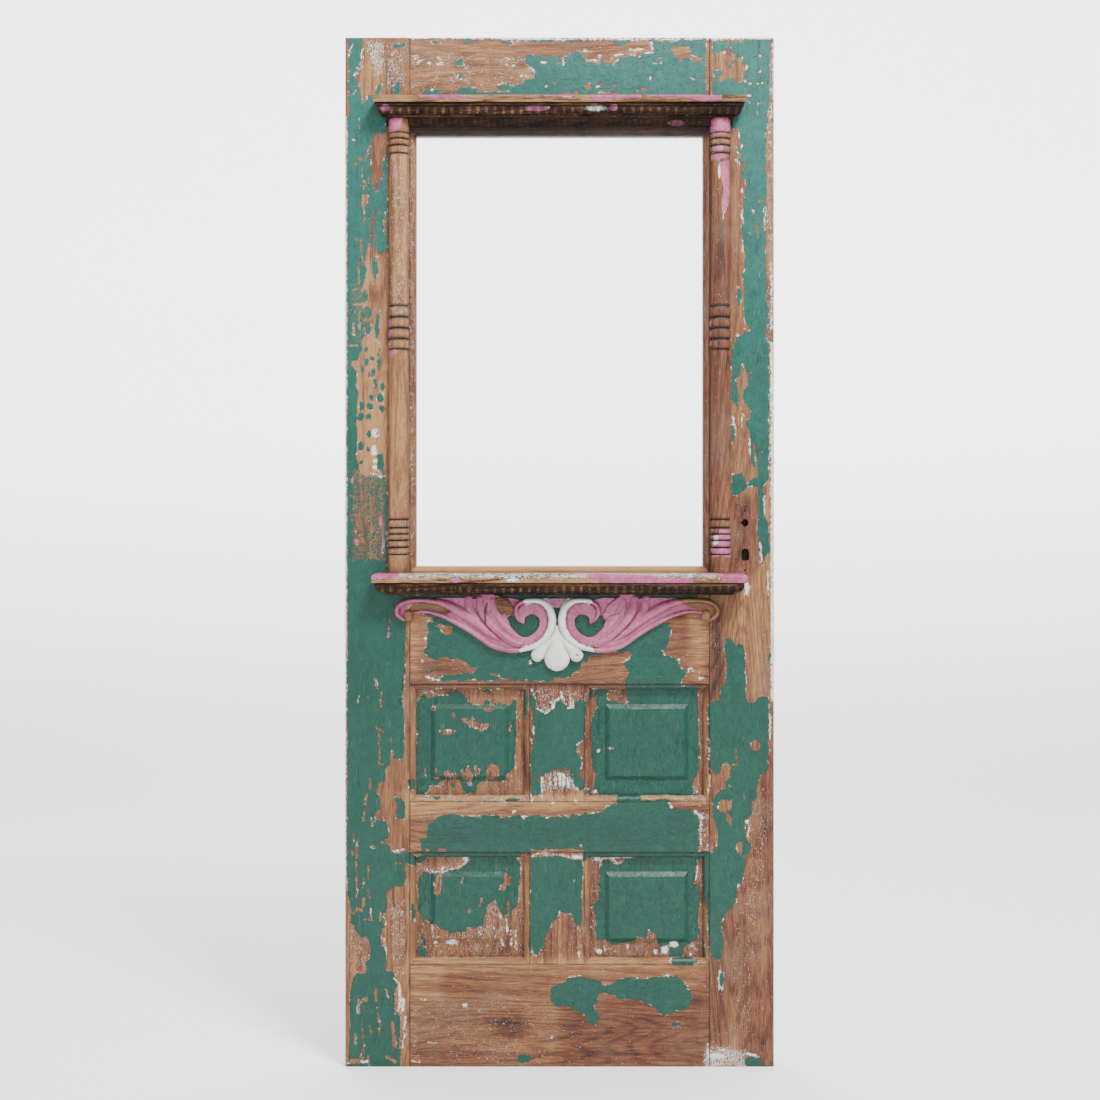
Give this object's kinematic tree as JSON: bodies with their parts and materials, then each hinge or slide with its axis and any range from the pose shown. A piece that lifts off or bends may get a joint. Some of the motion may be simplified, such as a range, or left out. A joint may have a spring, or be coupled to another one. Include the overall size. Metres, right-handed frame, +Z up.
{
  "type": "cottage door",
  "caption": "Half-glazed framed and panelled entrance door with a cornice, turned half columns, a sill and a carved scroll, in worn green, pink and white paint.",
  "frame": {"origin": "middle of the hinge stile's edge face: hinge edge of the door, mid-thickness, mid-height", "axes": "+X across the door from the hinge edge to the lock edge, +Y through the door from the ornamented outer face to the plain inner face, +Z up"},
  "size_m": [0.864, 0.0963, 2.074],
  "materials": {
    "worn_green_paint": "flaking green oil paint over white and pink coats, on bare tan softwood",
    "stained_moulding": "dark weathered brown stain with pink paint remains",
    "bare_pine": "bare weathered softwood, grain raised, with pink paint remains",
    "carving_paint": "chalky pink and pale blue-white paint, bare wood where worn",
    "clear_glass": "clear window glass"
  },
  "bodies": {
    "root": {"hinge_stile": "worn_green_paint", "lock_stile": "worn_green_paint", "top_rail": "worn_green_paint", "lock_rail": "worn_green_paint", "middle_rail": "worn_green_paint", "bottom_rail": "worn_green_paint", "upper_muntin": "worn_green_paint", "lower_muntin": "worn_green_paint", "panel_upper_left": "worn_green_paint", "panel_upper_right": "worn_green_paint", "panel_lower_left": "worn_green_paint", "panel_lower_right": "worn_green_paint", "glazing_bead_left": "worn_green_paint", "glazing_bead_right": "worn_green_paint", "glazing_bead_top": "worn_green_paint", "glazing_bead_bottom": "worn_green_paint", "glass_pane": "clear_glass", "left_half_column": "bare_pine", "right_half_column": "bare_pine", "cornice": "stained_moulding", "sill": "stained_moulding", "scroll_carving": "carving_paint"}
  },
  "joints": []
}
